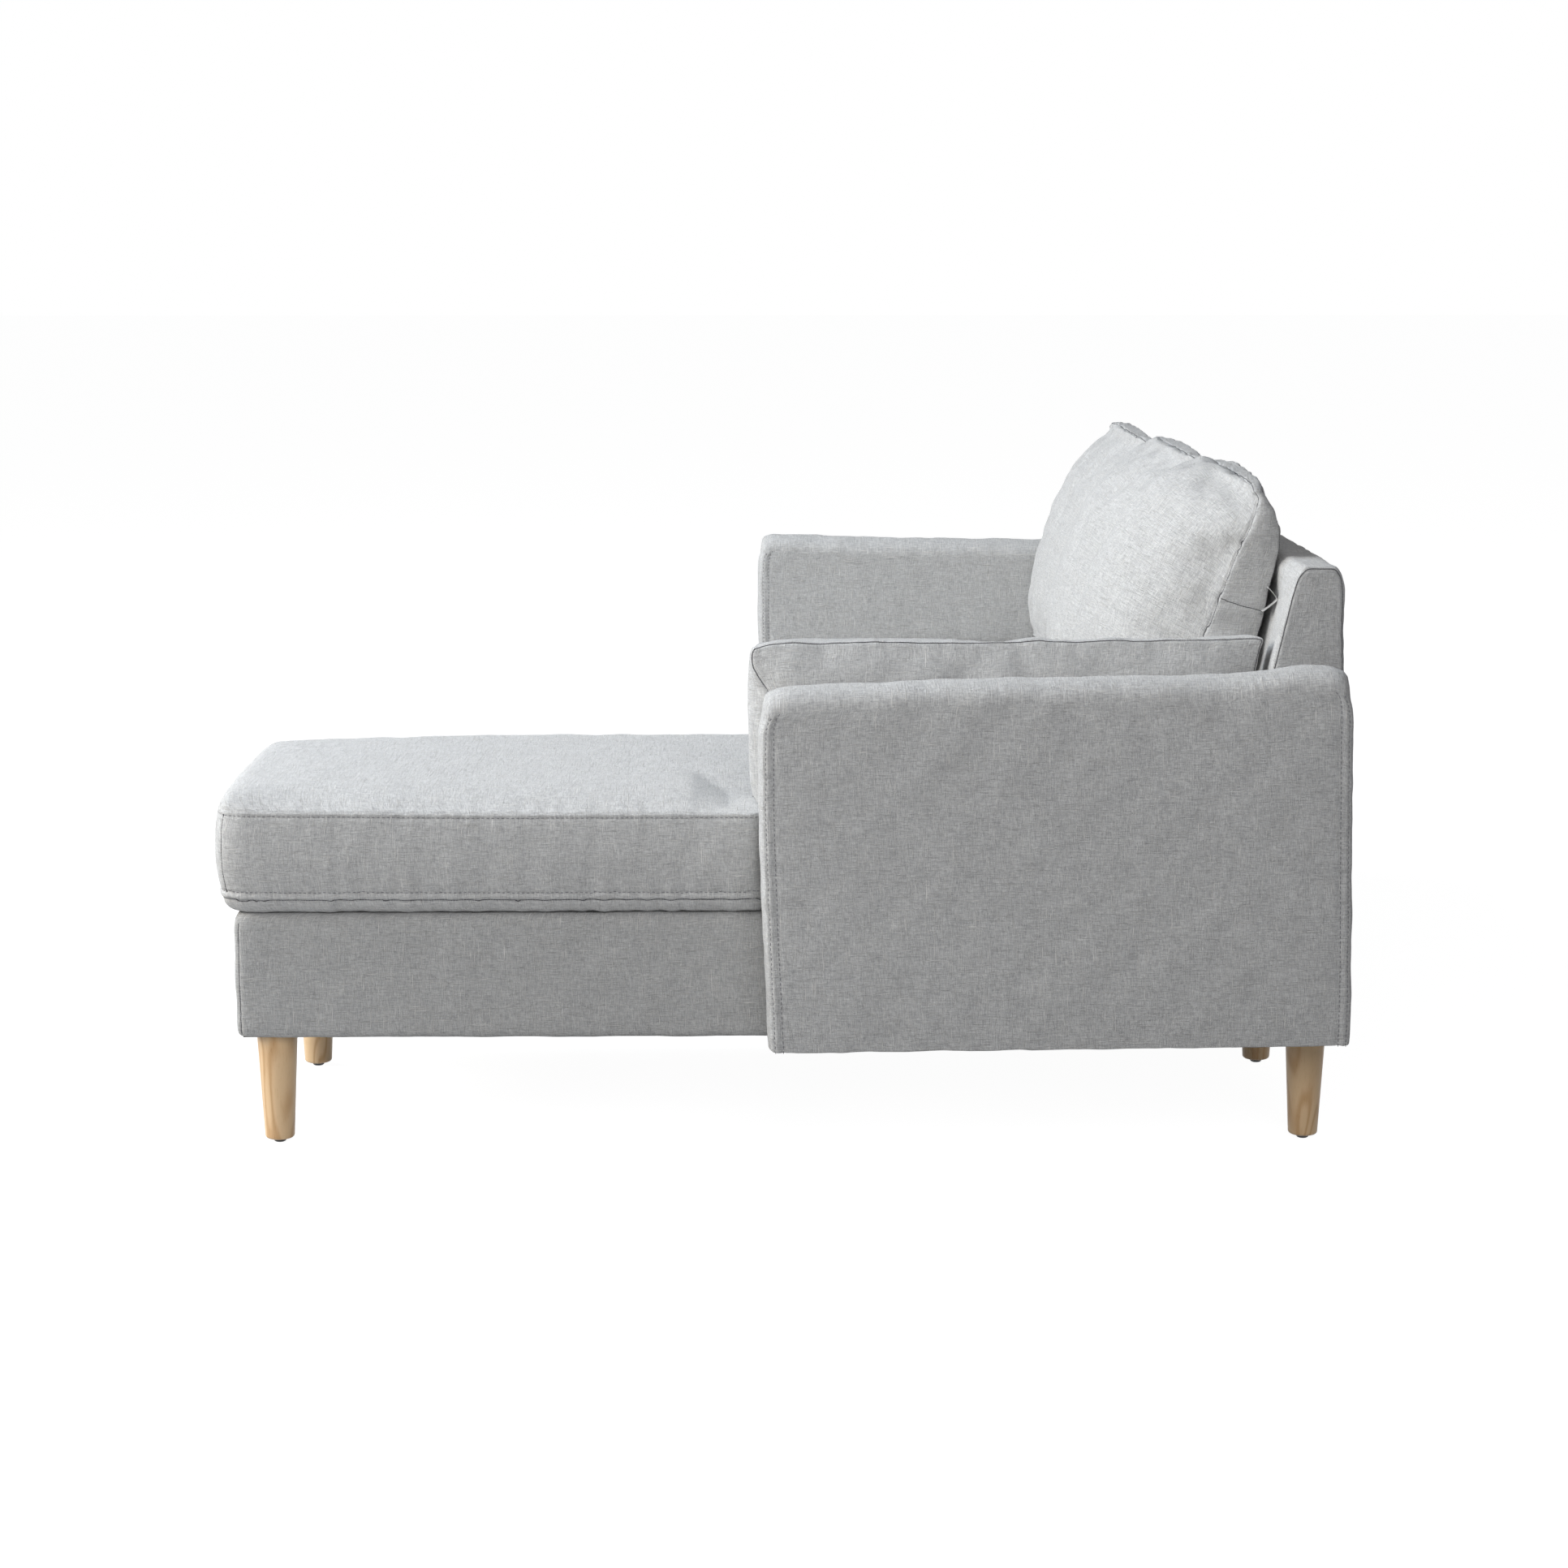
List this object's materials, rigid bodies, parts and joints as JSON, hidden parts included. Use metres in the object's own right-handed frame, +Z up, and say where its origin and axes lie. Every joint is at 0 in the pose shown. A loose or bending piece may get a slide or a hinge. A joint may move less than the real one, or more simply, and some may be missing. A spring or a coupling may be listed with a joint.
{
  "type": "sectional sofa",
  "caption": "Sectional sofa with a long chaise seat, square slim arms, loose seat and back cushions, an arm bolster and turned wooden legs.",
  "frame": {"origin": "on the floor, under the middle of the sofa's outline", "axes": "+Z up, the sofa faces -Y, and +X points to the chaise side, which is on a sitting person's left"},
  "size_m": [2, 1.505, 0.9036],
  "materials": {
    "grey_linen": "matte slubbed plain weave",
    "leg_wood": "natural wood, clear satin lacquer",
    "frame_timber": "sawn softwood",
    "zinc_steel": "zinc plated",
    "glide_plastic": "black, satin",
    "elastic_webbing": "woven elastic strap",
    "dust_cloth": "thin black non-woven cloth"
  },
  "bodies": {
    "chaise_section": {"chaise_side_rails": "frame_timber", "chaise_cross_rails": "frame_timber", "chaise_leg_boards": "frame_timber", "chaise_webbing": "elastic_webbing", "chaise_deck_pad": "grey_linen", "chaise_base_cover": "grey_linen", "chaise_dust_cover": "dust_cloth", "chaise_leg_front_right": "leg_wood", "chaise_leg_front_left": "leg_wood", "chaise_leg_back_right": "leg_wood", "chaise_leg_back_left": "leg_wood", "chaise_leg_bolts": "zinc_steel", "chaise_glides": "glide_plastic", "right_arm_posts": "frame_timber", "right_arm_rails": "frame_timber", "right_arm_cover": "grey_linen", "right_arm_bolts": "zinc_steel", "chaise_back_posts": "frame_timber", "chaise_back_slats": "frame_timber", "chaise_back_bolts": "zinc_steel", "chaise_back_cover": "grey_linen", "connector_sockets": "zinc_steel", "connector_socket_screws": "zinc_steel"},
    "two_seat_section": {"two_seat_side_rails": "frame_timber", "two_seat_cross_rails": "frame_timber", "two_seat_leg_boards": "frame_timber", "two_seat_webbing": "elastic_webbing", "two_seat_deck_pad": "grey_linen", "two_seat_base_cover": "grey_linen", "two_seat_dust_cover": "dust_cloth", "two_seat_leg_front_right": "leg_wood", "two_seat_leg_front_left": "leg_wood", "two_seat_leg_back_right": "leg_wood", "two_seat_leg_back_left": "leg_wood", "two_seat_leg_bolts": "zinc_steel", "two_seat_glides": "glide_plastic", "left_arm_posts": "frame_timber", "left_arm_rails": "frame_timber", "left_arm_cover": "grey_linen", "left_arm_bolts": "zinc_steel", "two_seat_back_posts": "frame_timber", "two_seat_back_slats": "frame_timber", "two_seat_back_bolts": "zinc_steel", "two_seat_back_cover": "grey_linen", "connector_hooks": "zinc_steel", "connector_hook_screws": "zinc_steel"},
    "chaise_seat_cushion": {"chaise_seat_cushion": "grey_linen"},
    "middle_seat_cushion": {"middle_seat_cushion": "grey_linen"},
    "left_seat_cushion": {"left_seat_cushion": "grey_linen"},
    "right_back_cushion": {"right_back_cushion": "grey_linen", "right_cushion_tab": "grey_linen"},
    "middle_back_cushion": {"middle_back_cushion": "grey_linen", "middle_cushion_tab": "grey_linen"},
    "left_back_cushion": {"left_back_cushion": "grey_linen", "left_cushion_tab": "grey_linen"},
    "bolster_cushion": {"bolster_cushion": "grey_linen"}
  },
  "joints": [
    {"name": "two_seat_section_lift_off", "type": "slide", "parent": "chaise_section", "child": "two_seat_section", "axis": [0, 0, 1], "range_m": [0, 0.06]},
    {"name": "chaise_seat_cushion_lift", "type": "slide", "parent": "chaise_section", "child": "chaise_seat_cushion", "axis": [0, 0, 1], "range_m": [0, 0.2]},
    {"name": "middle_seat_cushion_lift", "type": "slide", "parent": "two_seat_section", "child": "middle_seat_cushion", "axis": [0, 0, 1], "range_m": [0, 0.2]},
    {"name": "left_seat_cushion_lift", "type": "slide", "parent": "two_seat_section", "child": "left_seat_cushion", "axis": [0, 0, 1], "range_m": [0, 0.2]},
    {"name": "right_back_cushion_lift", "type": "slide", "parent": "chaise_seat_cushion", "child": "right_back_cushion", "axis": [0, 0, 1], "range_m": [0, 0.2]},
    {"name": "middle_back_cushion_lift", "type": "slide", "parent": "middle_seat_cushion", "child": "middle_back_cushion", "axis": [0, 0, 1], "range_m": [0, 0.2]},
    {"name": "left_back_cushion_lift", "type": "slide", "parent": "left_seat_cushion", "child": "left_back_cushion", "axis": [0, 0, 1], "range_m": [0, 0.2]},
    {"name": "bolster_lift", "type": "slide", "parent": "chaise_seat_cushion", "child": "bolster_cushion", "axis": [0, 0, 1], "range_m": [0, 0.2]}
  ]
}
